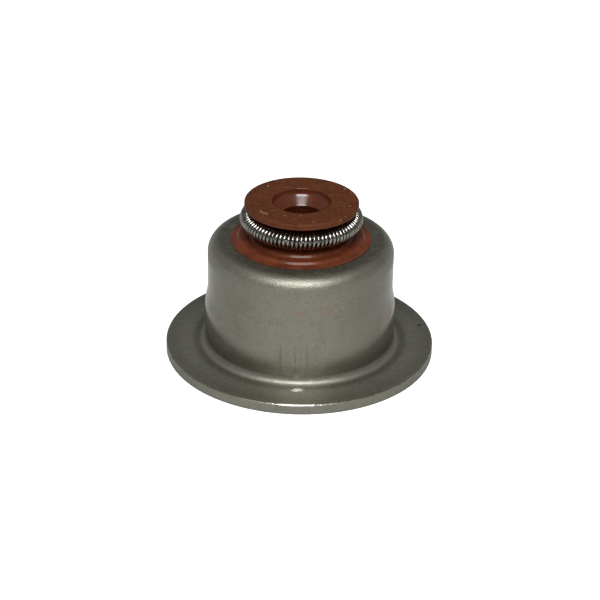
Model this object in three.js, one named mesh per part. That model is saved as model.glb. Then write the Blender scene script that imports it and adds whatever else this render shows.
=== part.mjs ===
// A valve stem seal: a steel shell drawn from one sheet, a rubber body moulded into it, and a garter spring.
// Millimetres, +Z up along the valve stem. The origin is the centre of the flange's underside.
import * as THREE from 'three';

// The stem and the guide that the seal is made for
const stemDiameter = 5.5;
const guideDiameter = 17.6;

// The seal's whole height, and how far its head stands above the shell
const sealHeight = 21;
const headRise = 5.29;

// The shell: one sheet, from the flange's rim up to the opening in its top
const sheet = 1.4;
const flangeWidth = 5.1;
const flangeTopRound = 0.18;
const flangeBottomBreak = 0.12;
const footFillet = 0.82;
const stepLength = 3.6;
const stepInset = 0.39;
const upperWallLength = 4.3;
const shoulderRadius = 1.74;
const topWidth = 3.62;
const openingBreak = 0.1;

// The rubber inside the shell: the lining that grips the guide, and the diaphragm under the top
const bondGap = 0.03;
const liningThickness = 1.69;
const liningStart = 0.2;
const liningLeadIn = 0.7;
const ribCount = 3;
const ribHeight = 0.3;
const diaphragmThickness = 1.2;
const diaphragmFillet = 0.6;

// The rubber above the shell: collar, neck, groove and head
const collarLap = 0.66;
const collarEdge = 0.1;
const skirtWidth = 0.75;
const skirtRise = 0.2;
const beadFlank = 0.28;
const beadWidth = 0.25;
const beadRise = 0.5;
const dishOutset = 0.3;
const dishRise = 0.3;
const stepWidth = 0.4;
const stepRise = 0.62;
const neckInset = 0.62;
const neckRise = 1.1;
const grooveWrapDegrees = 48;
const headGap = 0.56;
const headOverhang = 0.55;
const headThickness = 0.77;
const headEdgeRound = 0.12;

// The way through the rubber: mouth, cone, lip and relief
const lipPress = 0.16;
const lipWall = 2.95;
const lipAboveSpring = 0.48;
const coneWidth = 1.14;
const mouthDepth = 0.7;
const mouthEdgeRound = 0.14;
const reliefWidth = 0.8;
const reliefLength = 1.8;

// The garter spring: a close-wound coil, whose last turns narrow where its ends are screwed together
const wireDiameter = 0.4;
const coilDiameter = 2.25;
const coilGap = 0.012;
const springSeatGap = 0.05;
const nibDegrees = 294.6;
const nibTurns = 3;
const nibNarrowing = 0.12;

// How finely the curves are divided
const turnSegments = 48;
const stepsPerCoil = 7;
const wireSides = 4;

// Radii and heights of the shell that the rubber and the spring are fitted to
const liningOuter = guideDiameter / 2 + liningThickness;
const upperInner = liningOuter + bondGap;
const upperOuter = upperInner + sheet;
const lowerInner = upperInner + stepInset;
const lowerOuter = upperOuter + stepInset;
const flangeRadius = lowerOuter + flangeWidth;
const openingRadius = upperOuter - topWidth;
const footTop = sheet + footFillet;
const shellTop = sealHeight - headRise;
const shoulderBottom = shellTop - shoulderRadius;
const stepTop = shoulderBottom - upperWallLength;
const stepBottom = stepTop - stepLength;

// Radii and heights of the lip, of the spring that closes it and of the head above them
const lipRadius = stemDiameter / 2 - lipPress;
const grooveRadius = lipRadius + lipWall;
const ringRadius = grooveRadius + springSeatGap + coilDiameter / 2;
const headTop = sealHeight;
const headBottom = headTop - headThickness;
const springHeight = headBottom - headGap - coilDiameter / 2;
const headRadius = ringRadius + headOverhang;

const point = (radius, height) => new THREE.Vector2(radius, height);

// Points of an arc about a centre, both ends included. Angles run from +radius towards +Z.
function arc(centreRadius, centreHeight, radius, fromDegrees, toDegrees, steps) {
  return Array.from({ length: steps + 1 }, (_, index) => {
    const angle = THREE.MathUtils.degToRad(THREE.MathUtils.lerp(fromDegrees, toDegrees, index / steps));
    return point(centreRadius + radius * Math.cos(angle), centreHeight + radius * Math.sin(angle));
  });
}

// Points of a smooth S between two points of a wall, both ends included.
function sCurve(from, to, steps) {
  return Array.from({ length: steps + 1 }, (_, index) => {
    const share = index / steps;
    const eased = THREE.MathUtils.smoothstep(share, 0, 1);
    return point(THREE.MathUtils.lerp(from.x, to.x, eased), THREE.MathUtils.lerp(from.y, to.y, share));
  });
}

// A solid of revolution about Z from a closed profile, whose material lies on its left.
function turned(name, profile, material) {
  const geometry = new THREE.LatheGeometry([...profile, profile[0]], turnSegments);
  geometry.rotateX(Math.PI / 2);
  const mesh = new THREE.Mesh(geometry, material);
  mesh.name = name;
  return mesh;
}

// The drawn shell. Its inside runs one sheet within its outside, so the bends share their centres.
function steelShell() {
  const footCentre = lowerOuter + footFillet;
  const shoulderCentre = upperOuter - shoulderRadius;
  const profile = [
    point(flangeRadius - flangeBottomBreak, 0),
    point(flangeRadius, flangeBottomBreak),
    ...arc(flangeRadius - flangeTopRound, sheet - flangeTopRound, flangeTopRound, 0, 90, 1),
    ...arc(footCentre, footTop, footFillet, 270, 180, 3),
    ...sCurve(point(lowerOuter, stepBottom), point(upperOuter, stepTop), 3),
    ...arc(shoulderCentre, shoulderBottom, shoulderRadius, 0, 90, 5),
    point(openingRadius + openingBreak, shellTop),
    point(openingRadius, shellTop - openingBreak),
    point(openingRadius, shellTop - sheet),
    ...arc(shoulderCentre, shoulderBottom, shoulderRadius - sheet, 90, 0, 1),
    ...sCurve(point(upperInner, stepTop), point(lowerInner, stepBottom), 3),
    ...arc(footCentre, footTop, footFillet + sheet, 180, 270, 3),
  ];
  const steel = new THREE.MeshStandardMaterial({ color: 0x85847b, metalness: 0.9, roughness: 0.42 });
  return turned('steel_shell', profile, steel);
}

// The guide's side of the lining: a smooth bore with round-topped ribs that the guide presses flat.
function liningBore(bottom, top) {
  const boreRadius = guideDiameter / 2 + ribHeight;
  const pitch = (top - bottom) / ribCount;
  return Array.from({ length: ribCount }, (_, index) => {
    const crest = top - (index + 0.5) * pitch;
    return [
      point(boreRadius, crest + pitch / 3),
      point(guideDiameter / 2, crest),
      point(boreRadius, crest - pitch / 3),
    ];
  }).flat();
}

// The moulded rubber, from the lining's foot up its outside, over the head and down through the lip.
function rubberSeal() {
  const diaphragmTop = shellTop - sheet - bondGap;
  const diaphragmBottom = diaphragmTop - diaphragmThickness;
  const liningBottom = stepTop + liningStart;
  const boreRadius = guideDiameter / 2 + ribHeight;
  const reliefRadius = lipRadius + reliefWidth;
  const shoulderCentre = upperOuter - shoulderRadius;

  const collarRadius = openingRadius + collarLap;
  const collarBase = shellTop + bondGap;
  const skirtRadius = collarRadius - skirtWidth;
  const beadRadius = skirtRadius - beadFlank;
  const dishRadius = ringRadius + dishOutset;
  const neckRadius = grooveRadius - neckInset;

  const lipHeight = springHeight + lipAboveSpring;
  const mouthRadius = lipRadius + coneWidth;
  const grooveArcRadius = coilDiameter / 2 + springSeatGap;
  const profile = [
    point(liningOuter, liningBottom),
    ...arc(shoulderCentre, shoulderBottom, liningOuter - shoulderCentre, 0, 90, 1),
    point(openingRadius - bondGap, diaphragmTop),
    point(openingRadius - bondGap, collarBase),
    point(collarRadius, collarBase),
    point(collarRadius, collarBase + collarEdge),
    point(skirtRadius, collarBase + skirtRise),
    point(beadRadius, collarBase + beadRise),
    point(beadRadius - beadWidth, collarBase + beadRise),
    point(dishRadius, collarBase + dishRise),
    point(dishRadius - stepWidth, collarBase + stepRise),
    point(neckRadius, collarBase + neckRise),
    ...arc(ringRadius, springHeight, grooveArcRadius, 180 + grooveWrapDegrees, 180 - grooveWrapDegrees, 4),
    point(headRadius - headOverhang, headBottom - headGap / 4),
    point(headRadius - headEdgeRound, headBottom),
    point(headRadius, headBottom + headEdgeRound),
    point(headRadius, headTop - headEdgeRound),
    point(headRadius - headEdgeRound, headTop),
    point(mouthRadius + mouthEdgeRound, headTop),
    point(mouthRadius, headTop - mouthEdgeRound),
    point(mouthRadius, headTop - mouthDepth),
    point(lipRadius, lipHeight),
    point(reliefRadius, lipHeight - reliefLength),
    point(reliefRadius, diaphragmBottom),
    ...arc(boreRadius - diaphragmFillet, diaphragmBottom - diaphragmFillet, diaphragmFillet, 90, 0, 1),
    ...liningBore(liningBottom + liningLeadIn, diaphragmBottom - diaphragmFillet),
    point(boreRadius, liningBottom + liningLeadIn),
    point(THREE.MathUtils.lerp(boreRadius, liningOuter, 0.6), liningBottom),
  ];
  const rubber = new THREE.MeshStandardMaterial({ color: 0x6b3a26, metalness: 0, roughness: 0.55 });
  return turned('rubber_seal', profile, rubber);
}

// How much of its full radius a coil keeps at an angle round the ring: less where the nib is screwed in.
function coilShare(angle, coilCount) {
  const nibAngle = THREE.MathUtils.degToRad(nibDegrees);
  const away = Math.abs(Math.atan2(Math.sin(angle - nibAngle), Math.cos(angle - nibAngle)));
  const reach = (nibTurns / coilCount) * Math.PI;
  return 1 - nibNarrowing * (1 - THREE.MathUtils.smoothstep(away, 0, reach));
}

// The garter spring: a round wire carried along a helix whose own axis is a ring, closed on itself.
// At an angle a round the ring the wire has turned through coilCount times a about the ring.
function garterSpring() {
  const helixRadius = (coilDiameter - wireDiameter) / 2;
  const innerLength = 2 * Math.PI * (ringRadius - helixRadius);
  const coilCount = Math.floor(innerLength / (wireDiameter + coilGap));
  const stepCount = coilCount * stepsPerCoil;

  const centre = (angle) => {
    const radius = helixRadius * coilShare(angle, coilCount);
    const reach = ringRadius + radius * Math.cos(coilCount * angle);
    const height = springHeight + radius * Math.sin(coilCount * angle);
    return new THREE.Vector3(reach * Math.cos(angle), reach * Math.sin(angle), height);
  };
  const outward = (angle) => {
    const across = Math.cos(coilCount * angle);
    const along = Math.sin(coilCount * angle);
    return new THREE.Vector3(across * Math.cos(angle), across * Math.sin(angle), along);
  };

  const positions = [];
  const indices = [];
  const halfStep = Math.PI / stepCount;
  for (let step = 0; step < stepCount; step += 1) {
    const angle = 2 * halfStep * step;
    const tangent = centre(angle + halfStep).sub(centre(angle - halfStep)).normalize();
    const normal = outward(angle);
    const binormal = new THREE.Vector3().crossVectors(tangent, normal).normalize();
    for (let side = 0; side < wireSides; side += 1) {
      const turn = (2 * Math.PI * side) / wireSides;
      const corner = centre(angle)
        .addScaledVector(normal, (wireDiameter / 2) * Math.cos(turn))
        .addScaledVector(binormal, (wireDiameter / 2) * Math.sin(turn));
      positions.push(corner.x, corner.y, corner.z);

      const next = ((step + 1) % stepCount) * wireSides;
      const nextSide = (side + 1) % wireSides;
      const here = step * wireSides;
      indices.push(here + side, here + nextSide, next + side);
      indices.push(here + nextSide, next + nextSide, next + side);
    }
  }
  const geometry = new THREE.BufferGeometry();
  geometry.setAttribute('position', new THREE.Float32BufferAttribute(positions, 3));
  geometry.setIndex(indices);
  geometry.computeVertexNormals();
  const wire = new THREE.MeshStandardMaterial({ color: 0x8e8c86, metalness: 1, roughness: 0.3 });
  const mesh = new THREE.Mesh(geometry, wire);
  mesh.name = 'garter_spring';
  return mesh;
}

const group = new THREE.Group();
group.add(steelShell(), rubberSeal(), garterSpring());

export default group;
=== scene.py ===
"""A valve stem seal: a drawn steel shell with a broad flange, a brown rubber body and a garter spring."""

import math

import bpy
import numpy as np
from mathutils import Matrix, Vector


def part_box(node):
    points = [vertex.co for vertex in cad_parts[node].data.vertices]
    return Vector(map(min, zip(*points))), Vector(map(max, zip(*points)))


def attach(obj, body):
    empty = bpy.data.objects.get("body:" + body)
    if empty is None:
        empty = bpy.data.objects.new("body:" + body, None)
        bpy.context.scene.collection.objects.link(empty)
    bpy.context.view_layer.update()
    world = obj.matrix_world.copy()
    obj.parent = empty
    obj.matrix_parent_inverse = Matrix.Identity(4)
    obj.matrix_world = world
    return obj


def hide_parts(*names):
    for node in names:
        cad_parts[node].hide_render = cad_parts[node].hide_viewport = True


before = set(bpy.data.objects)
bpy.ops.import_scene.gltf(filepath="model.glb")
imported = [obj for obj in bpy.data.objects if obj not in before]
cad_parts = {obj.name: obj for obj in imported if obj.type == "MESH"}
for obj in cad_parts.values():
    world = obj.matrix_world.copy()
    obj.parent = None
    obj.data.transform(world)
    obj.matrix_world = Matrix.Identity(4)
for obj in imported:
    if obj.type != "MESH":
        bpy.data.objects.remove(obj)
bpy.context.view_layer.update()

# The steel shell is one hat drawn from a flat sheet, whose flange is the valve spring's seat.
# It is grey phosphated steel, satin and slightly grainy, with draw marks up its wall and faint rust.
MM = 0.001
shell_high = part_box("steel_shell")[1]
FLANGE_RADIUS = shell_high.x
SHELL_TOP = shell_high.z
SHEET = 1.4 * MM
FLANGE_WIDTH = 5.1 * MM
FLANGE_TOP_ROUND = 0.18 * MM
FLANGE_BOTTOM_BREAK = 0.12 * MM
FOOT_FILLET = 0.82 * MM
STEP_INSET = 0.39 * MM
STEP_LOW, STEP_HIGH = 7.05 * MM, 8.75 * MM
STEP_ROUND = 7.4 * MM
SHOULDER_RADIUS = 1.74 * MM
TOP_WIDTH = 3.62 * MM
OPENING_BREAK = 0.1 * MM
BLOOM_LOW, BLOOM_HIGH, BLOOM_FADE = 9.8 * MM, 11.6 * MM, 1.2 * MM
IRONED_ROUGHNESS, BENT_ROUGHNESS, EDGE_POLISH = 0.21, 0.44, 0.14
METAL_SHARE = 0.8
GRAIN_DEPTH = 0.03 * MM
SHELL_TURNS = 320
SHELL_STEP = 0.3 * MM
WAVINESS = 0.012 * MM
SHELL_SEED = 4


def arc_points(centre, radius, start, stop, count):
    """Points (r, z) at even angles round a centre, from start to stop degrees, both included."""
    angles = np.radians(np.linspace(start, stop, count))
    return np.column_stack([centre[0] + radius * np.cos(angles), centre[1] + radius * np.sin(angles)])


def rounded(corners, longest):
    """The closed outline through corners (r, z, fillet): each corner becomes an arc tangent to both its
    sides, at centre = corner + bisector * fillet / sin(half angle), and no side's step is over longest."""
    points = np.array([corner[:2] for corner in corners])
    outline = []
    for index, (radius_at, height_at, fillet) in enumerate(corners):
        here = np.array([radius_at, height_at])
        back = points[index - 1] - here
        ahead = points[(index + 1) % len(points)] - here
        back /= np.linalg.norm(back)
        ahead /= np.linalg.norm(ahead)
        half = math.acos(np.clip(back @ ahead, -1, 1)) / 2
        if fillet <= 0 or half > math.radians(89.5):
            outline.append(here[None])
            continue
        middle = (back + ahead) / np.linalg.norm(back + ahead)
        centre = here + middle * fillet / math.sin(half)
        first = here + back * fillet / math.tan(half) - centre
        last = here + ahead * fillet / math.tan(half) - centre
        sweep = math.pi - 2 * half
        steps = max(3, int(math.degrees(sweep) / 7))
        shares = np.linspace(0, 1, steps + 1)[:, None]
        turned = np.sin((1 - shares) * sweep) * first + np.sin(shares * sweep) * last
        outline.append(centre + turned / math.sin(sweep))
    outline = np.vstack(outline)
    finer = []
    for here, ahead in zip(outline, np.roll(outline, -1, axis=0)):
        steps = max(1, math.ceil(np.linalg.norm(ahead - here) / longest))
        finer.append(here + (ahead - here) * np.linspace(0, 1, steps, endpoint=False)[:, None])
    return np.vstack(finer)


def waves(angle, along, seed, count=26):
    """A smooth uneven field from 0 to 1: the mean of sines of angle and of length along the outline."""
    draw = np.random.default_rng(seed)
    field = np.zeros(np.broadcast(angle, along).shape)
    for _ in range(count):
        turns, pitch = draw.integers(1, 15), draw.uniform(0.2, 1.6) / MM
        phases = draw.uniform(0, 2 * math.pi, 2)
        field += np.sin(turns * angle + phases[0]) * np.sin(pitch * along + phases[1]) / turns**0.5
    return 0.5 + 0.5 * np.tanh(field / math.sqrt(count))


def revolve(name, outline, turns, relief=None):
    """A solid of revolution: outline point (r, z) at angle a goes to (r cos a, r sin a, z), after it is
    moved in along the outline's normal by relief(a, s), where s is the length along the outline."""
    ahead, behind = np.roll(outline, -1, axis=0), np.roll(outline, 1, axis=0)
    tangent = ahead - behind
    tangent /= np.linalg.norm(tangent, axis=1)[:, None]
    normal = np.column_stack([tangent[:, 1], -tangent[:, 0]])
    steps = np.linalg.norm(outline - behind, axis=1)
    along = np.cumsum(steps) - steps[0]
    angle = np.linspace(0, 2 * math.pi, turns, endpoint=False)[:, None]
    depth = np.zeros((turns, len(outline))) if relief is None else relief(angle, along[None])
    radius = outline[:, 0] - normal[:, 0] * depth
    height = outline[:, 1] - normal[:, 1] * depth
    vertices = np.stack([radius * np.cos(angle), radius * np.sin(angle), height], axis=-1)
    mesh = grid_mesh(name, vertices)
    layer = mesh.attributes.new("along", "FLOAT", "POINT")
    layer.data.foreach_set("value", np.tile(along, turns).astype(np.float32))
    piece = bpy.data.objects.new(name, mesh)
    bpy.context.scene.collection.objects.link(piece)
    return piece


def grid_mesh(name, vertices):
    """A smooth mesh of quads over a grid of points that closes on itself both ways."""
    rows, columns = vertices.shape[:2]
    row, column = np.meshgrid(np.arange(rows), np.arange(columns), indexing="ij")
    next_row, next_column = (row + 1) % rows, (column + 1) % columns
    quads = np.stack([row * columns + column, next_row * columns + column,
                      next_row * columns + next_column, row * columns + next_column], axis=-1)
    mesh = bpy.data.meshes.new(name)
    mesh.from_pydata(vertices.reshape(-1, 3), [], quads.reshape(-1, 4))
    mesh.polygons.foreach_set("use_smooth", np.ones(rows * columns, bool))
    mesh.update()
    return mesh


def new_group(name, inputs, outputs):
    """An empty shader node group with the named inputs (type, default) and outputs (type)."""
    group = bpy.data.node_groups.new(name, "ShaderNodeTree")
    for label, (kind, default) in inputs.items():
        socket = group.interface.new_socket(label, in_out="INPUT", socket_type=kind)
        socket.default_value = default
    for label, kind in outputs.items():
        group.interface.new_socket(label, in_out="OUTPUT", socket_type=kind)
    return group, group.nodes.new("NodeGroupInput"), group.nodes.new("NodeGroupOutput")


def add(tree, kind, links=None, **settings):
    """A node of that kind with its settings and its inputs, each a value or another node's output."""
    node = tree.nodes.new(kind)
    for label, value in settings.items():
        setattr(node, label, value)
    for label, value in (links or {}).items():
        if isinstance(value, bpy.types.NodeSocket):
            tree.links.new(value, node.inputs[label])
        else:
            node.inputs[label].default_value = value
    return node


def maths(tree, operation, *values):
    """The output of a Math node on the values given."""
    return add(tree, "ShaderNodeMath", dict(enumerate(values)), operation=operation).outputs[0]


def ramp(tree, value, low, high, first=0.0, last=1.0):
    """The value mapped smoothly from low..high to first..last."""
    links = {"Value": value, "From Min": low, "From Max": high, "To Min": first, "To Max": last}
    return add(tree, "ShaderNodeMapRange", links, interpolation_type="SMOOTHSTEP").outputs["Result"]


def blend_colour(tree, share, base, top):
    """The base colour with the top colour laid over it by share."""
    node = add(tree, "ShaderNodeMix", data_type="RGBA")
    for socket, value in zip((node.inputs[0], node.inputs[6], node.inputs[7]), (share, base, top)):
        if isinstance(value, bpy.types.NodeSocket):
            tree.links.new(value, socket)
        else:
            socket.default_value = value
    return node.outputs[2]


def tone(red, green, blue):
    """A colour as a node's value, from its sRGB bytes."""
    linear = [c / 12.92 if c <= 0.04045 else ((c + 0.055) / 1.055) ** 2.4 for c in
              (red / 255, green / 255, blue / 255)]
    return (*linear, 1.0)


def noise(tree, vector, scale, detail=2.0, roughness=0.5):
    """The value of a noise texture, from about 0.3 to 0.7."""
    links = {"Vector": vector, "Scale": scale, "Detail": detail, "Roughness": roughness}
    return add(tree, "ShaderNodeTexNoise", links).outputs[0]


def build_grain_group():
    """Fine grain: a Height for bump, and a coarser Mottle for colour, at sizes given in millimetres."""
    inputs = {"Vector": ("NodeSocketVector", (0, 0, 0)), "Grain Size": ("NodeSocketFloat", 0.2),
              "Mottle Size": ("NodeSocketFloat", 2.0)}
    tree, given, result = new_group("fine grain", inputs, {"Height": "NodeSocketFloat",
                                                           "Mottle": "NodeSocketFloat"})
    fine = maths(tree, "DIVIDE", 1 / MM, given.outputs["Grain Size"])
    coarse = maths(tree, "DIVIDE", 1 / MM, given.outputs["Mottle Size"])
    tree.links.new(noise(tree, given.outputs["Vector"], fine, 1.0), result.inputs["Height"])
    tree.links.new(noise(tree, given.outputs["Vector"], coarse, 4.0, 0.65), result.inputs["Mottle"])
    return tree


def build_draw_group():
    """Marks drawn along the outline: noise that is narrow round the axis and long along the surface."""
    inputs = {"Vector": ("NodeSocketVector", (0, 0, 0)), "Along": ("NodeSocketFloat", 0.0),
              "Round": ("NodeSocketFloat", 60.0), "Length": ("NodeSocketFloat", 6.0)}
    tree, given, result = new_group("draw marks", inputs, {"Marks": "NodeSocketFloat"})
    place = add(tree, "ShaderNodeSeparateXYZ", {"Vector": given.outputs["Vector"]})
    flat = add(tree, "ShaderNodeCombineXYZ", {"X": place.outputs["X"], "Y": place.outputs["Y"]})
    unit = add(tree, "ShaderNodeVectorMath", {0: flat.outputs[0]}, operation="NORMALIZE")
    around = add(tree, "ShaderNodeVectorMath", {0: unit.outputs[0], "Scale": given.outputs["Round"]},
                 operation="SCALE")
    lengthwise = maths(tree, "DIVIDE", maths(tree, "DIVIDE", given.outputs["Along"], MM),
                       given.outputs["Length"])
    rise = add(tree, "ShaderNodeCombineXYZ", {"Z": lengthwise})
    joined = add(tree, "ShaderNodeVectorMath", {0: around.outputs[0], 1: rise.outputs[0]}, operation="ADD")
    tree.links.new(noise(tree, joined.outputs[0], 1.0, 3.0, 0.6), result.inputs["Marks"])
    return tree


def build_speck_group():
    """Scattered specks: a mask of small irregular dots, of which Amount is the share of cells filled."""
    inputs = {"Vector": ("NodeSocketVector", (0, 0, 0)), "Spacing": ("NodeSocketFloat", 1.0),
              "Dot Size": ("NodeSocketFloat", 0.2), "Amount": ("NodeSocketFloat", 0.2)}
    tree, given, result = new_group("specks", inputs, {"Mask": "NodeSocketFloat"})
    scale = maths(tree, "DIVIDE", 1 / MM, given.outputs["Spacing"])
    wobble = add(tree, "ShaderNodeTexNoise", {"Vector": given.outputs["Vector"], "Scale": 4 / MM})
    shift = add(tree, "ShaderNodeVectorMath", {0: wobble.outputs["Color"], "Scale": 0.2 * MM},
                operation="SCALE")
    moved = add(tree, "ShaderNodeVectorMath", {0: given.outputs["Vector"], 1: shift.outputs[0]},
                operation="ADD")
    cells = add(tree, "ShaderNodeTexVoronoi", {"Vector": moved.outputs[0], "Scale": scale})
    reach = maths(tree, "DIVIDE", given.outputs["Dot Size"], given.outputs["Spacing"])
    inner = maths(tree, "MULTIPLY", reach, 0.35)
    near = ramp(tree, cells.outputs["Distance"], inner, reach, 1.0, 0.0)
    pick = add(tree, "ShaderNodeSeparateColor", {"Color": cells.outputs["Color"]})
    chosen = maths(tree, "LESS_THAN", pick.outputs[0], given.outputs["Amount"])
    tree.links.new(maths(tree, "MULTIPLY", near, chosen), result.inputs["Mask"])
    return tree


def build_mark_group():
    """One mark: a ragged spot at Centre, turned about Z to face out of the wall and then leaned along it,
    with Half Size across, into and up the wall, and Ragged the unevenness of its edge."""
    inputs = {"Vector": ("NodeSocketVector", (0, 0, 0)), "Centre": ("NodeSocketVector", (0, 0, 0)),
              "Turn": ("NodeSocketFloat", 0.0), "Lean": ("NodeSocketFloat", 0.0),
              "Half Size": ("NodeSocketVector", (1, 1, 1)), "Ragged": ("NodeSocketFloat", 0.9)}
    tree, given, result = new_group("single mark", inputs, {"Mask": "NodeSocketFloat"})
    moved = add(tree, "ShaderNodeVectorMath", {0: given.outputs["Vector"], 1: given.outputs["Centre"]},
                operation="SUBTRACT")
    level = add(tree, "ShaderNodeVectorRotate", {"Vector": moved.outputs[0], "Angle":
                maths(tree, "MULTIPLY", given.outputs["Turn"], -1.0)}, rotation_type="Z_AXIS")
    upright = add(tree, "ShaderNodeVectorRotate", {"Vector": level.outputs[0], "Angle":
                  maths(tree, "MULTIPLY", given.outputs["Lean"], -1.0)}, rotation_type="Y_AXIS")
    shaped = add(tree, "ShaderNodeVectorMath", {0: upright.outputs[0], 1: given.outputs["Half Size"]},
                 operation="DIVIDE")
    reach = add(tree, "ShaderNodeVectorMath", {0: shaped.outputs[0]}, operation="LENGTH")
    uneven = maths(tree, "SUBTRACT", noise(tree, given.outputs["Vector"], 5 / MM), 0.5)
    uneven = maths(tree, "MULTIPLY", uneven, given.outputs["Ragged"])
    edge = maths(tree, "ADD", reach.outputs["Value"], uneven)
    tree.links.new(ramp(tree, edge, 0.55, 1.0, 1.0, 0.0), result.inputs["Mask"])
    return tree


grain_group = build_grain_group()
draw_group = build_draw_group()
speck_group = build_speck_group()
mark_group = build_mark_group()


def placed(tree, group, **links):
    """A node group placed in a material, with its inputs given by their names in lower case."""
    node = tree.nodes.new("ShaderNodeGroup")
    node.node_tree = group
    for label, value in links.items():
        socket = node.inputs[label.replace("_", " ").title()]
        if isinstance(value, bpy.types.NodeSocket):
            tree.links.new(value, socket)
        else:
            socket.default_value = value
    return node


def new_material(name):
    """A material with its tree, its Principled shader and the Object coordinates that it reads."""
    material = bpy.data.materials.new(name)
    material.use_nodes = True
    tree = material.node_tree
    shader = tree.nodes["Principled BSDF"]
    place = tree.nodes.new("ShaderNodeTexCoord").outputs["Object"]
    return material, tree, shader, place


def wall_mark(radius, degrees, height):
    """A point on a surface at that radius, at an angle from the front towards +X, and at that height."""
    angle = math.radians(degrees - 90)
    return (radius * math.cos(angle), radius * math.sin(angle), height)


def position_of(tree, place):
    """The height of a point above the table, and its distance from the axis."""
    height = add(tree, "ShaderNodeSeparateXYZ", {"Vector": place}).outputs["Z"]
    flat = add(tree, "ShaderNodeVectorMath", {0: place, 1: (1.0, 1.0, 0.0)}, operation="MULTIPLY")
    radius = add(tree, "ShaderNodeVectorMath", {0: flat.outputs[0]}, operation="LENGTH")
    return height, radius.outputs["Value"]


def both(tree, first, second):
    """A mask where two masks overlap, or a mask weakened to a share: their product."""
    return maths(tree, "MULTIPLY", first, second)


def band(tree, value, base, rise, fall, share=1.0):
    """A mask over a band of the value, up to that share. It comes in between the two distances of rise
    from the base and goes out between the two of fall, all in millimetres."""
    return both(tree, ramp(tree, value, base + rise[0] * MM, base + rise[1] * MM),
                ramp(tree, value, base + fall[1] * MM, base + fall[0] * MM, 0.0, share))


def spot(tree, place, centre, half_size, ragged, turn=0.0, lean=0.0):
    """The mask of one mark, with its half size in millimetres and its turn and lean in degrees."""
    node = placed(tree, mark_group, vector=place, centre=centre, turn=math.radians(turn),
                  lean=math.radians(lean), half_size=tuple(half * MM for half in half_size), ragged=ragged)
    return node.outputs["Mask"]


upper_outer = FLANGE_RADIUS - FLANGE_WIDTH - STEP_INSET
lower_outer = FLANGE_RADIUS - FLANGE_WIDTH
opening_radius = upper_outer - TOP_WIDTH
shell_outline = rounded([
    (FLANGE_RADIUS, 0, FLANGE_BOTTOM_BREAK),
    (FLANGE_RADIUS, SHEET, FLANGE_TOP_ROUND),
    (lower_outer, SHEET, FOOT_FILLET),
    (lower_outer, STEP_LOW, STEP_ROUND),
    (upper_outer, STEP_HIGH, STEP_ROUND),
    (upper_outer, SHELL_TOP, SHOULDER_RADIUS),
    (opening_radius, SHELL_TOP, OPENING_BREAK),
    (opening_radius, SHELL_TOP - SHEET, OPENING_BREAK / 2),
    (upper_outer - SHEET, SHELL_TOP - SHEET, SHOULDER_RADIUS - SHEET),
    (upper_outer - SHEET, STEP_HIGH, STEP_ROUND),
    (lower_outer - SHEET, STEP_LOW, STEP_ROUND),
    (lower_outer - SHEET, 0, FOOT_FILLET + SHEET),
], SHELL_STEP)
shell = revolve("drawn_shell", shell_outline, SHELL_TURNS,
                lambda angle, along: WAVINESS * waves(angle, along, SHELL_SEED))

# Of these, the top and flange tones are painted shade, the pit tone also lays painted shade, and the worn
# and burnished tones also lay painted highlights.
STEEL = tone(133, 132, 121)
STEEL_TOP_SHADED = tone(92, 89, 77)
STEEL_FLANGE_SHADED = tone(120, 119, 107)
STEEL_OLIVE = tone(122, 121, 104)
STEEL_WARM = tone(136, 121, 104)
STEEL_COOL = tone(139, 141, 136)
STEEL_WORN_AND_GLINT = tone(156, 155, 146)
STEEL_PIT_AND_SHADE = tone(66, 64, 55)
RUST = tone(152, 92, 38)
BURNISHED_AND_GLINT = tone(238, 237, 232)

steel, tree, shader, place = new_material("phosphated steel")
along = add(tree, "ShaderNodeAttribute", attribute_name="along").outputs["Fac"]
height_of, radius_of = position_of(tree, place)
on_top = both(tree, ramp(tree, height_of, SHELL_TOP - 0.5 * MM, SHELL_TOP - 0.1 * MM),
              ramp(tree, radius_of, upper_outer - 0.6 * MM, upper_outer - 1.8 * MM))
upper_face = band(tree, height_of, SHEET, (-0.2, -0.05), (0.1, 0.5))
on_flange = band(tree, height_of, SHEET, (-0.3, -0.05), (0.02, 0.15))
pressed = both(tree, ramp(tree, radius_of, lower_outer + 0.9 * MM, lower_outer + 1.9 * MM),
               ramp(tree, radius_of, FLANGE_RADIUS - 0.8 * MM, FLANGE_RADIUS - 2.6 * MM))
on_wall = ramp(tree, height_of, SHEET + 1.2 * MM, SHEET + 2.0 * MM)
on_edge = both(tree, ramp(tree, radius_of, FLANGE_RADIUS - 0.3 * MM, FLANGE_RADIUS - 0.12 * MM),
               ramp(tree, height_of, SHEET - 0.26 * MM, SHEET - 0.1 * MM))
ironed = both(tree, ramp(tree, height_of, SHEET + 0.5 * MM, SHEET + 1.2 * MM),
              ramp(tree, height_of, SHELL_TOP - 1.6 * MM, SHELL_TOP - 3.2 * MM))
in_bloom = both(tree, ramp(tree, height_of, BLOOM_LOW - BLOOM_FADE, BLOOM_LOW),
                ramp(tree, height_of, BLOOM_HIGH + BLOOM_FADE, BLOOM_HIGH))

grain = placed(tree, grain_group, vector=place, grain_size=0.16, mottle_size=2.2)
tint = placed(tree, grain_group, vector=place, grain_size=0.3, mottle_size=0.9)
draws = placed(tree, draw_group, vector=place, along=along, round=95.0, length=5.0)
flecks = placed(tree, speck_group, vector=place, spacing=1.3, dot_size=0.22, amount=0.16)
pits = placed(tree, speck_group, vector=place, spacing=1.7, dot_size=0.2, amount=0.14)
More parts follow.
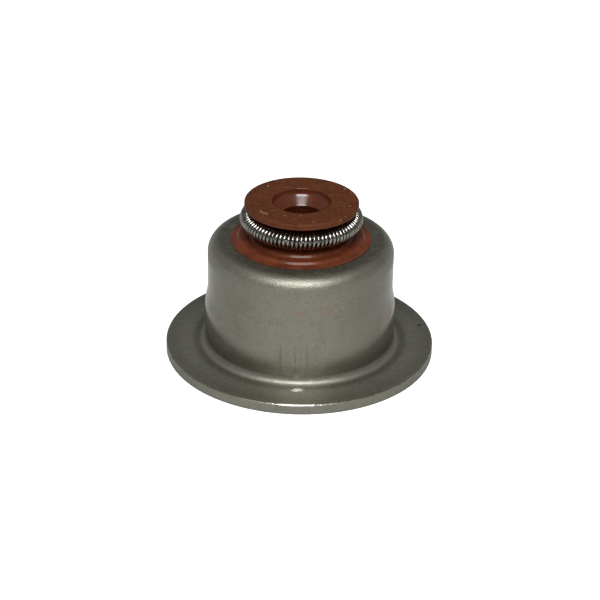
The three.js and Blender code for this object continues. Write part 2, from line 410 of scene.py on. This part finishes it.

# The phosphate is browned in a band high on the wall, and clouded olive and cool grey in small patches.
# The shell's top and the flange's upper face are darker: painted shade, for the darker room they face.
colour = blend_colour(tree, on_top, STEEL, STEEL_TOP_SHADED)
colour = blend_colour(tree, upper_face, colour, STEEL_FLANGE_SHADED)
browned = both(tree, ramp(tree, grain.outputs["Mottle"], 0.45, 0.62, 0.0, 0.3),
               ramp(tree, in_bloom, 0.0, 1.0, 0.5, 1.8))
colour = blend_colour(tree, browned, colour, STEEL_WARM)
patches = [(grain.outputs["Mottle"], 0.5, 0.34, 0.6, STEEL_OLIVE),
           (tint.outputs["Height"], 0.52, 0.72, 0.6, STEEL_COOL),
           (tint.outputs["Height"], 0.46, 0.27, 0.5, STEEL_OLIVE)]
for cloudy, start, full, share, patch_colour in patches:
    colour = blend_colour(tree, ramp(tree, cloudy, start, full, 0.0, share), colour, patch_colour)
streaks = ramp(tree, draws.outputs["Marks"], 0.38, 0.66)
worn = both(tree, both(tree, pressed, on_flange), ramp(tree, streaks, 0.0, 1.0, 0.15, 0.5))
colour = blend_colour(tree, worn, colour, STEEL_WORN_AND_GLINT)
rusty = both(tree, flecks.outputs["Mask"], ramp(tree, grain.outputs["Mottle"], 0.45, 0.6, 0.0, 0.4))
colour = blend_colour(tree, rusty, colour, RUST)
colour = blend_colour(tree, both(tree, pits.outputs["Mask"], 0.5), colour, STEEL_PIT_AND_SHADE)

# Marks of its own history: an orange scratch high on the right, a nick in the flange, draw lines low on the
# front, and rust flecks and dark pits on the wall. A bright burnished spot at the flange's foot, at the
# front, is a painted highlight.
scratch = spot(tree, place, wall_mark(12.1 * MM, 69.2, 7.25 * MM), (0.36, 0.6, 1.2), 0.5, 69.3, 56.0)
colour = blend_colour(tree, scratch, colour, RUST)
nick = spot(tree, place, wall_mark(16.35 * MM, 102.6, SHEET), (0.2, 0.6, 0.5), 0.3, 130.5)
colour = blend_colour(tree, nick, colour, STEEL_PIT_AND_SHADE)

LINE_HEIGHT, LINE_DEPTH, LINE_HALF, LINE_RAGGED = 4.5 * MM, 0.5, 2.9, 1.8
draw_lines = [(-10.8, 0.2, 0.26), (-2.2, 0.17, 0.24), (4.5, 0.24, 0.2), (1.2, 0.14, 0.1), (9.5, 0.16, 0.1)]
for degrees, half_width, share in draw_lines:
    line = spot(tree, place, wall_mark(lower_outer, degrees, LINE_HEIGHT),
                (half_width, LINE_DEPTH, LINE_HALF), LINE_RAGGED, degrees)
    colour = blend_colour(tree, both(tree, line, share), colour, STEEL_PIT_AND_SHADE)

MARK_DEPTH = 0.6
FLECK_STRETCH, FLECK_RAGGED, FLECK_SHARE = 1.8, 3.4, 0.12
PIT_RAGGED, PIT_SHARE = 0.6, 0.35
flecked_radius = upper_outer + 0.1 * MM
rust_flecks = [(-41.0, 11.0, 0.4), (-33.4, 12.0, 0.24), (-31.0, 11.1, 0.5), (-25.8, 10.6, 0.2),
               (-15.8, 10.9, 0.24), (0.5, 11.1, 0.5), (15.5, 10.9, 0.4), (29.7, 9.5, 0.3),
               (34.0, 12.1, 0.4), (26.7, 6.8, 0.26)]
for degrees, height_up, size in rust_flecks:
    fleck = spot(tree, place, wall_mark(flecked_radius, degrees, height_up * MM),
                 (FLECK_STRETCH * size, MARK_DEPTH, size), FLECK_RAGGED, degrees)
    colour = blend_colour(tree, both(tree, fleck, FLECK_SHARE), colour, RUST)
dark_pits = [(-9.8, 12.0, 0.14), (-18.2, 9.6, 0.12), (-19.5, 11.5, 0.1), (18.4, 11.7, 0.11),
             (22.3, 10.3, 0.13), (25.9, 8.0, 0.14)]
for degrees, height_up, size in dark_pits:
    pit = spot(tree, place, wall_mark(flecked_radius, degrees, height_up * MM),
               (size, MARK_DEPTH, size), PIT_RAGGED, degrees)
    colour = blend_colour(tree, both(tree, pit, PIT_SHARE), colour, STEEL_PIT_AND_SHADE)
# A near-white patch on the flange at the front of its foot: a painted highlight for a glint, with a small
# bump.
scuff_glint = spot(tree, place, wall_mark(13.75 * MM, -0.8, SHEET), (0.8, 0.5, 0.3), 3.2)
colour = blend_colour(tree, scuff_glint, colour, BURNISHED_AND_GLINT)

# The flange's top edge is lightened a little all round as rubbed wear, and more at the front as a painted
# highlight where the lamp's glint lies.
# The fillet's crest gets a painted highlight and the bends on both sides of it painted shade. The bright
# spot is laid on again, so they don't dull it.
edge_wear_and_glint = both(tree, on_edge, ramp(tree, tint.outputs["Mottle"], 0.4, 0.6, 0.0, 0.12))
colour = blend_colour(tree, edge_wear_and_glint, colour, BURNISHED_AND_GLINT)
front_rim_glint = spot(tree, place, wall_mark(FLANGE_RADIUS - 0.1 * MM, -1.0, SHEET), (3.6, 0.4, 0.3), 1.8)
colour = blend_colour(tree, both(tree, front_rim_glint, on_edge), colour, BURNISHED_AND_GLINT)
# Darker bands on the wall just above the fillet and on the flange just beyond it: painted shade.
foot_shade = band(tree, height_of, SHEET, (0.7, 1.1), (1.7, 2.8), 0.32)
colour = blend_colour(tree, foot_shade, colour, STEEL_PIT_AND_SHADE)
# A lighter band along the fillet's crest: a painted highlight where the lamp's glint lies.
fillet_glint_band = band(tree, radius_of, lower_outer, (0.1, 0.3), (0.45, 0.7), 0.5)
colour = blend_colour(tree, fillet_glint_band, colour, STEEL_WORN_AND_GLINT)
below_fillet_shade = band(tree, radius_of, lower_outer, (0.7, 0.95), (1.2, 2.0), 0.3)
colour = blend_colour(tree, below_fillet_shade, colour, STEEL_PIT_AND_SHADE)
colour = blend_colour(tree, scuff_glint, colour, BURNISHED_AND_GLINT)
tree.links.new(colour, shader.inputs["Base Color"])

# The ironed wall is the smoothest, the bends and the flange are duller, and the rubbed edge shines.
SCUFF_HEIGHT, NICK_DEPTH = 2.0, 9.0
mottled = ramp(tree, grain.outputs["Mottle"], 0.3, 0.7, -0.02, 0.03)
satin = ramp(tree, ironed, 0.0, 1.0, BENT_ROUGHNESS, IRONED_ROUGHNESS)
satin = maths(tree, "SUBTRACT", satin, both(tree, on_edge, EDGE_POLISH))
tree.links.new(maths(tree, "ADD", satin, mottled), shader.inputs["Roughness"])
shader.inputs["Metallic"].default_value = METAL_SHARE
fine = both(tree, grain.outputs["Height"], ramp(tree, ironed, 0.0, 1.0, 1.4, 0.2))
lines = both(tree, draws.outputs["Marks"], ramp(tree, on_wall, 0.0, 1.0, 0.3, 0.2))
raised = maths(tree, "ADD", maths(tree, "ADD", fine, lines), both(tree, scuff_glint, SCUFF_HEIGHT))
dented = maths(tree, "SUBTRACT", raised, both(tree, nick, NICK_DEPTH))
bump = add(tree, "ShaderNodeBump", {"Height": dented, "Strength": 1.0, "Distance": GRAIN_DEPTH})
tree.links.new(bump.outputs[0], shader.inputs["Normal"])
shell.data.materials.append(steel)
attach(shell, "root")
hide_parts("steel_shell")

# The rubber seal is one moulding of brown fluoro-rubber, bonded inside the shell and through its top.
# Its head, cut flat and matt, carries the stem's mouth and the lip. The collar below it is smooth.
rubber_low, rubber_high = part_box("rubber_seal")
HEAD_TOP = rubber_high.z
LINING_OUTER = rubber_high.x
LINING_FOOT = rubber_low.z
BOND_GAP = 0.03 * MM
GUIDE_RADIUS = 8.8 * MM
RIB_HEIGHT = 0.3 * MM
RIB_COUNT = 3
RIB_ROOT_ROUND, RIB_CREST_ROUND = 0.12 * MM, 0.16 * MM
RIB_TOP_MARGIN = 0.6 * MM
LINING_ENTRY, ENTRY_SHARE = 0.7 * MM, 0.6
DIAPHRAGM = 1.2 * MM
DIAPHRAGM_UNDER = SHELL_TOP - SHEET - BOND_GAP - DIAPHRAGM
LIP_RADIUS = 2.59 * MM
MOUTH_RADIUS = 3.73 * MM
MOUTH_DEPTH, MOUTH_ROUND = 0.8 * MM, 0.6 * MM
MOUTH_LAND = 0.72 * MM
LAND_STEP = 0.05 * MM
LIP_ABOVE_SPRING, LIP_FLARE = 0.48 * MM, 1.8 * MM
RELIEF_RADIUS = 3.39 * MM
HEAD_THICKNESS = 0.77 * MM
HEAD_OVERHANG, HEAD_SLOPE, HEAD_ROUND = 0.55 * MM, 0.14 * MM, 0.26 * MM
COLLAR_LAP = 0.66 * MM
COLLAR_EDGE = 0.1 * MM
SKIRT_WIDTH, SKIRT_RISE = 0.75 * MM, 0.2 * MM
BEAD_FLANK, BEAD_WIDTH, BEAD_RISE = 0.28 * MM, 0.25 * MM, 0.5 * MM
DISH_OUTSET, DISH_RISE = 0.3 * MM, 0.3 * MM
STEP_OUTER, STEP_INNER, STEP_RISE = 0.42 * MM, 0.68 * MM, 0.65 * MM
NECK_INSET, NECK_RISE = 0.62 * MM, 1.1 * MM
RUBBER_TURNS = 208
RUBBER_STEP = 0.22 * MM
RUBBER_WAVINESS = 0.012 * MM
COLLAR_GLOSS, MOUTH_GLOSS = 0.24, 1.0
RUBBER_SEED = 9

spring_low, spring_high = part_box("garter_spring")
COIL_DIAMETER = 2.25 * MM
RING_RADIUS = 6.715 * MM
SPRING_HEIGHT = (spring_low.z + spring_high.z) / 2
GROOVE_GAP = 0.05 * MM
GROOVE_FOOT, GROOVE_TOP, GROOVE_POINTS = 228, 132, 15
HEAD_RADIUS = RING_RADIUS + HEAD_OVERHANG

collar_base = SHELL_TOP + BOND_GAP
collar_radius = opening_radius + COLLAR_LAP
skirt_radius = collar_radius - SKIRT_WIDTH
bead_radius = skirt_radius - BEAD_FLANK
dish_radius = RING_RADIUS + DISH_OUTSET
neck_radius = RING_RADIUS - COIL_DIAMETER / 2 - GROOVE_GAP - NECK_INSET
head_under = HEAD_TOP - HEAD_THICKNESS
lip_height = SPRING_HEIGHT + LIP_ABOVE_SPRING
bore_radius = GUIDE_RADIUS + RIB_HEIGHT
groove = arc_points((RING_RADIUS, SPRING_HEIGHT), COIL_DIAMETER / 2 + GROOVE_GAP,
                    GROOVE_FOOT, GROOVE_TOP, GROOVE_POINTS)
rib_low, rib_high = LINING_FOOT + LINING_ENTRY, DIAPHRAGM_UNDER - RIB_TOP_MARGIN
rib_pitch = (rib_high - rib_low) / RIB_COUNT
ribs = []
for rib in range(RIB_COUNT):
    crest = rib_high - (rib + 0.5) * rib_pitch
    ribs.append((bore_radius, crest + rib_pitch / 3, RIB_ROOT_ROUND))
    ribs.append((GUIDE_RADIUS, crest, RIB_CREST_ROUND))
    ribs.append((bore_radius, crest - rib_pitch / 3, RIB_ROOT_ROUND))

rubber_outline = rounded([
    (LINING_OUTER, LINING_FOOT, 0.06 * MM),
    (LINING_OUTER, SHELL_TOP - SHEET - BOND_GAP, SHOULDER_RADIUS - SHEET - BOND_GAP),
    (opening_radius - BOND_GAP, SHELL_TOP - SHEET - BOND_GAP, 0),
    (opening_radius - BOND_GAP, collar_base, 0),
    (collar_radius, collar_base, 0.02 * MM),
    (collar_radius, collar_base + COLLAR_EDGE, 0.04 * MM),
    (skirt_radius, collar_base + SKIRT_RISE, 0.15 * MM),
    (bead_radius, collar_base + BEAD_RISE, 0.15 * MM),
    (bead_radius - BEAD_WIDTH, collar_base + BEAD_RISE, 0.3 * MM),
    (dish_radius - STEP_OUTER, collar_base + DISH_RISE, 0.2 * MM),
    (dish_radius - STEP_INNER, collar_base + STEP_RISE, 0.22 * MM),
    (neck_radius, collar_base + NECK_RISE, 0.4 * MM),
    *[(radius_at, height_at, 0) for radius_at, height_at in groove],
    (HEAD_RADIUS - HEAD_OVERHANG, head_under - HEAD_SLOPE, 0.3 * MM),
    (HEAD_RADIUS, head_under, 0.12 * MM),
    (HEAD_RADIUS, HEAD_TOP, HEAD_ROUND),
    (MOUTH_RADIUS + MOUTH_LAND, HEAD_TOP, 0.04 * MM),
    (MOUTH_RADIUS + MOUTH_LAND - LAND_STEP, HEAD_TOP - LAND_STEP, 0.04 * MM),
    (MOUTH_RADIUS, HEAD_TOP - LAND_STEP, 0.12 * MM),
    (MOUTH_RADIUS, HEAD_TOP - MOUTH_DEPTH, MOUTH_ROUND),
    (LIP_RADIUS, lip_height, 0.05 * MM),
    (RELIEF_RADIUS, lip_height - LIP_FLARE, 0.3 * MM),
    (RELIEF_RADIUS, DIAPHRAGM_UNDER, 0.2 * MM),
    (bore_radius, DIAPHRAGM_UNDER, 0.6 * MM),
    *ribs,
    (bore_radius, LINING_FOOT + LINING_ENTRY, 0.3 * MM),
    (bore_radius + ENTRY_SHARE * (LINING_OUTER - bore_radius), LINING_FOOT, 0.1 * MM),
], RUBBER_STEP)
rubber = revolve("moulded_rubber", rubber_outline, RUBBER_TURNS,
                 lambda angle, along: RUBBER_WAVINESS * waves(angle, along, RUBBER_SEED))

RUBBER = tone(98, 48, 28)
RUBBER_INSIDE = tone(84, 38, 20)
RUBBER_PALE = tone(86, 47, 25)
RUBBER_TAN = tone(102, 63, 38)
RUBBER_DEEP = tone(70, 33, 20)
DUST = tone(150, 118, 92)

HEAD_ROUGHNESS, COLLAR_ROUGHNESS, COAT_ROUGHNESS = 0.6, 0.45, 0.15
RUBBER_SPECULAR = 0.1
RUBBER_GRAIN, GRAIN_STRENGTH = 0.03 * MM, 0.6

brown, tree, shader, place = new_material("brown fluoro-rubber")
height_of, radius_of = position_of(tree, place)
on_head = both(tree, ramp(tree, height_of, head_under, head_under + 0.3 * MM),
               ramp(tree, radius_of, MOUTH_RADIUS - 0.05 * MM, MOUTH_RADIUS + 0.1 * MM))
off_head = ramp(tree, on_head, 0.0, 1.0, 1.0, 0.0)
in_mouth = ramp(tree, radius_of, MOUTH_RADIUS + 0.2 * MM, MOUTH_RADIUS)
grain = placed(tree, grain_group, vector=place, grain_size=0.16, mottle_size=1.7)
cloud = placed(tree, grain_group, vector=place, grain_size=0.22, mottle_size=0.7)
dots = placed(tree, speck_group, vector=place, spacing=0.9, dot_size=0.16, amount=0.2)
colour = blend_colour(tree, in_mouth, RUBBER, RUBBER_INSIDE)
colour = blend_colour(tree, on_head, colour, RUBBER_PALE)
colour = blend_colour(tree, ramp(tree, grain.outputs["Mottle"], 0.44, 0.62, 0.0, 0.55), colour, RUBBER_DEEP)
paled = both(tree, ramp(tree, cloud.outputs["Mottle"], 0.5, 0.64, 0.0, 0.5), on_head)
colour = blend_colour(tree, paled, colour, RUBBER_TAN)
grained = both(tree, ramp(tree, cloud.outputs["Height"], 0.5, 0.7, 0.0, 0.5), on_head)
colour = blend_colour(tree, grained, colour, RUBBER_DEEP)
dusty = both(tree, dots.outputs["Mask"], both(tree, on_head, 0.5))
colour = blend_colour(tree, dusty, colour, DUST)

# Specks of dust and pale grit lie on the head, and its mouth has one small nick at the back.
SPECK_DEPTH, SPECK_RAGGED, SPECK_SHARE = 0.4, 2.2, 0.8
head_specks = [(-3.37, 6.03, 0.14), (-4.35, 4.12, 0.2), (5.5, 3.61, 0.16), (6.06, -1.49, 0.16),
               (5.3, -1.67, 0.14), (-2.04, -4.6, 0.14), (-0.06, -4.52, 0.15), (1.55, -6.32, 0.16),
               (4.88, -5.4, 0.14), (-4.65, -3.98, 0.24), (-5.0, -3.6, 0.2), (-4.3, -4.2, 0.2)]
for across, depth, size in head_specks:
    speck = spot(tree, place, (across * MM, depth * MM, HEAD_TOP), (size, size, SPECK_DEPTH), SPECK_RAGGED)
    colour = blend_colour(tree, both(tree, speck, SPECK_SHARE), colour, DUST)
nicked = (2.55 * MM, 2.75 * MM, HEAD_TOP - 0.2 * MM)
mouth_nick = spot(tree, place, nicked, (0.3, 0.3, 0.35), 0.8)
colour = blend_colour(tree, both(tree, mouth_nick, SPECK_SHARE), colour, RUBBER_DEEP)
tree.links.new(colour, shader.inputs["Base Color"])
dulled = ramp(tree, on_head, 0.0, 1.0, COLLAR_ROUGHNESS, HEAD_ROUGHNESS)
tree.links.new(dulled, shader.inputs["Roughness"])
glossy = both(tree, ramp(tree, in_mouth, 0.0, 1.0, COLLAR_GLOSS, MOUTH_GLOSS), off_head)
tree.links.new(glossy, shader.inputs["Coat Weight"])
shader.inputs["Specular IOR Level"].default_value = RUBBER_SPECULAR
shader.inputs["Coat Roughness"].default_value = COAT_ROUGHNESS
height = both(tree, grain.outputs["Height"], ramp(tree, on_head, 0.0, 1.0, 0.15, 1.0))
bump = add(tree, "ShaderNodeBump", {"Height": height, "Strength": GRAIN_STRENGTH, "Distance": RUBBER_GRAIN})
tree.links.new(bump.outputs[0], shader.inputs["Normal"])
rubber.data.materials.append(brown)
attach(rubber, "root")
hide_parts("rubber_seal")

# The garter spring is one drawn wire, close wound and joined into a ring by a narrowed end, the nib,
# that is screwed into the other. It lies in the groove and keeps the lip on the stem.
WIRE_DIAMETER = 0.4 * MM
COIL_GAP = 0.012 * MM
NIB_DEGREES = 294.6
NIB_TURNS = 3
NIB_NARROWING = 0.12
STEPS_PER_COIL = 26
WIRE_SIDES = 10
COIL_UNEVENNESS = 0.012 * MM

helix_radius = (COIL_DIAMETER - WIRE_DIAMETER) / 2
coil_count = math.floor(2 * math.pi * (RING_RADIUS - helix_radius) / (WIRE_DIAMETER + COIL_GAP))


def wire_centre(angle):
    """The wire's centreline: a circle of the coil's radius turned coil_count times while its own centre
    goes once round the ring. The radius narrows smoothly at the nib and is a little uneven elsewhere."""
    away = np.abs((angle - math.radians(NIB_DEGREES) + math.pi) % (2 * math.pi) - math.pi)
    share = np.clip(away / (NIB_TURNS / coil_count * math.pi), 0, 1)
    narrow = 1 - NIB_NARROWING * (1 - share**2 * (3 - 2 * share))
    uneven = COIL_UNEVENNESS * (np.sin(17 * angle + 1.3) + np.sin(41 * angle)) / 2
    radius = helix_radius * narrow - np.abs(uneven)
    turned = coil_count * angle
    reach = RING_RADIUS + radius * np.cos(turned)
    return np.column_stack([reach * np.cos(angle), reach * np.sin(angle),
                            SPRING_HEIGHT + radius * np.sin(turned)])


def wound_wire(name):
    """The wire's surface: at each step a circle of wire radius in the plane across the centreline, set
    out from its normal, which points away from the coil's own centre, and its binormal."""
    steps = coil_count * STEPS_PER_COIL
    angle = np.linspace(0, 2 * math.pi, steps, endpoint=False)
    half_step = math.pi / steps
    tangent = wire_centre(angle + half_step) - wire_centre(angle - half_step)
    tangent /= np.linalg.norm(tangent, axis=1)[:, None]
    across, up = np.cos(coil_count * angle), np.sin(coil_count * angle)
    normal = np.column_stack([across * np.cos(angle), across * np.sin(angle), up])
    binormal = np.cross(tangent, normal)
    binormal /= np.linalg.norm(binormal, axis=1)[:, None]
    turn = np.linspace(0, 2 * math.pi, WIRE_SIDES, endpoint=False)[None, :, None]
    ring = np.cos(turn) * normal[:, None] + np.sin(turn) * binormal[:, None]
    vertices = wire_centre(angle)[:, None] + WIRE_DIAMETER / 2 * ring
    piece = bpy.data.objects.new(name, grid_mesh(name, vertices[:, ::-1]))
    bpy.context.scene.collection.objects.link(piece)
    return piece


spring = wound_wire("wound_spring")

WIRE = tone(166, 162, 156)
WIRE_DULL = tone(92, 87, 80)
WIRE_SMOOTH, WIRE_ROUGH = 0.15, 0.24
WIRE_GRAIN, WIRE_GRAIN_STRENGTH = 0.01 * MM, 0.15

wire, tree, shader, place = new_material("drawn spring wire")
grain = placed(tree, grain_group, vector=place, grain_size=0.12, mottle_size=0.9)
colour = blend_colour(tree, ramp(tree, grain.outputs["Mottle"], 0.4, 0.7, 0.0, 0.8), WIRE, WIRE_DULL)
tree.links.new(colour, shader.inputs["Base Color"])
drawn = ramp(tree, grain.outputs["Mottle"], 0.35, 0.7, WIRE_SMOOTH, WIRE_ROUGH)
tree.links.new(drawn, shader.inputs["Roughness"])
shader.inputs["Metallic"].default_value = 1.0
bump = add(tree, "ShaderNodeBump", {"Height": grain.outputs["Height"], "Strength": WIRE_GRAIN_STRENGTH,
                                    "Distance": WIRE_GRAIN})
tree.links.new(bump.outputs[0], shader.inputs["Normal"])
spring.data.materials.append(wire)
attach(spring, "root")
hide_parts("garter_spring")

# The stage is a white table under one soft lamp above the camera, in a plain grey room.
# The camera looks down at the seal from the front, as the photograph does.
FLOOR_SIZE = 4.0
FLOOR_GREY, FLOOR_ROUGHNESS = 0.8, 0.9
FLOOR_GLOW = 0.72
FLOOR_FADE = 0.5 * MM
FLOOR_MIRRORED, FLOOR_SIDES = 0.8, 0.7
ROOM_GREY = 0.17
HORIZON_WHITE, HORIZON_HEIGHT = 0.6, 0.15
LAMP_ELEVATION = 51.0
LAMP_DISTANCE = 0.6
LAMP_WIDTH, LAMP_HEIGHT = 0.37, 0.28
LAMP_WATTS = 4.4
CAMERA_DISTANCE = 234.0 * MM
CAMERA_ELEVATION = 29.53
AIM_ABOVE_BASE = 1.456
CAMERA_ROLL = 1.0
LENS, SENSOR = 106.7, 36.0

floor_mesh = bpy.data.meshes.new("floor")
side = FLOOR_SIZE / 2
floor_mesh.from_pydata([(-side, -side, 0), (side, -side, 0), (side, side, 0), (-side, side, 0)], [],
                       [(0, 1, 2, 3)])
floor = bpy.data.objects.new("floor", floor_mesh)
bpy.context.scene.collection.objects.link(floor)
white, tree, shader, place = new_material("white table")
shader.inputs["Base Color"].default_value = (FLOOR_GREY, FLOOR_GREY, FLOOR_GREY, 1.0)
shader.inputs["Roughness"].default_value = FLOOR_ROUGHNESS
shader.inputs["Specular IOR Level"].default_value = 0.0
rays = tree.nodes.new("ShaderNodeLightPath")
radius_of = position_of(tree, place)[1]
open_floor = ramp(tree, radius_of, FLANGE_RADIUS - FLOOR_FADE, FLANGE_RADIUS + FLOOR_FADE)
mirrored = maths(tree, "MAXIMUM", rays.outputs["Is Glossy Ray"], rays.outputs["Is Transmission Ray"])
lit = add(tree, "ShaderNodeEmission", {"Strength": maths(tree, "MULTIPLY", rays.outputs["Is Camera Ray"],
                                                         FLOOR_GLOW)})
plain = add(tree, "ShaderNodeAddShader", {0: shader.outputs[0], 1: lit.outputs[0]})
across = add(tree, "ShaderNodeSeparateXYZ", {"Vector": place}).outputs["X"]
sideways = maths(tree, "DIVIDE", across, radius_of)
dimmed = ramp(tree, maths(tree, "MULTIPLY", sideways, sideways), 0.0, 1.0, FLOOR_MIRRORED,
              FLOOR_MIRRORED * FLOOR_SIDES)
even = add(tree, "ShaderNodeEmission", {"Strength": maths(tree, "MULTIPLY", open_floor, dimmed)})
chosen = add(tree, "ShaderNodeMixShader", {0: mirrored, 1: plain.outputs[0], 2: even.outputs[0]})
tree.links.new(chosen.outputs[0], tree.nodes["Material Output"].inputs["Surface"])
floor_mesh.materials.append(white)

world = bpy.data.worlds.new("grey room")
bpy.context.scene.world = world
world.use_nodes = True
tree = world.node_tree
rays = tree.nodes.new("ShaderNodeLightPath")
looking = tree.nodes.new("ShaderNodeTexCoord").outputs["Generated"]
upward = add(tree, "ShaderNodeSeparateXYZ", {"Vector": looking}).outputs["Z"]
horizon = ramp(tree, upward, 0.0, HORIZON_HEIGHT, HORIZON_WHITE, ROOM_GREY)
level = maths(tree, "MAXIMUM", rays.outputs["Is Camera Ray"], horizon)
room = tree.nodes["Background"]
tree.links.new(level, room.inputs["Strength"])
room.inputs["Color"].default_value = (1.0, 1.0, 1.0, 1.0)

lamp_data = bpy.data.lights.new("soft lamp", "AREA")
lamp_data.shape = "RECTANGLE"
lamp_data.size, lamp_data.size_y = LAMP_WIDTH, LAMP_HEIGHT
lamp_data.energy = LAMP_WATTS
lamp = bpy.data.objects.new("soft lamp", lamp_data)
bpy.context.scene.collection.objects.link(lamp)
lift = math.radians(LAMP_ELEVATION)
lamp.location = LAMP_DISTANCE * Vector((0, -math.cos(lift), math.sin(lift)))
lamp.rotation_euler = (-lamp.location).to_track_quat("-Z", "Y").to_euler()

camera_data = bpy.data.cameras.new("camera")
camera_data.lens, camera_data.sensor_width = LENS, SENSOR
camera_data.clip_start, camera_data.clip_end = 0.01, 10.0
camera = bpy.data.objects.new("camera", camera_data)
bpy.context.scene.collection.objects.link(camera)
lift = math.radians(CAMERA_ELEVATION)
camera.location = CAMERA_DISTANCE * Vector((0, -math.cos(lift), math.sin(lift)))
pitch = math.radians(90 - CAMERA_ELEVATION + AIM_ABOVE_BASE)
camera.rotation_euler = (Matrix.Rotation(pitch, 3, "X")
                         @ Matrix.Rotation(math.radians(CAMERA_ROLL), 3, "Z")).to_euler()
bpy.context.scene.camera = camera

bpy.context.scene.view_settings.view_transform = "Standard"
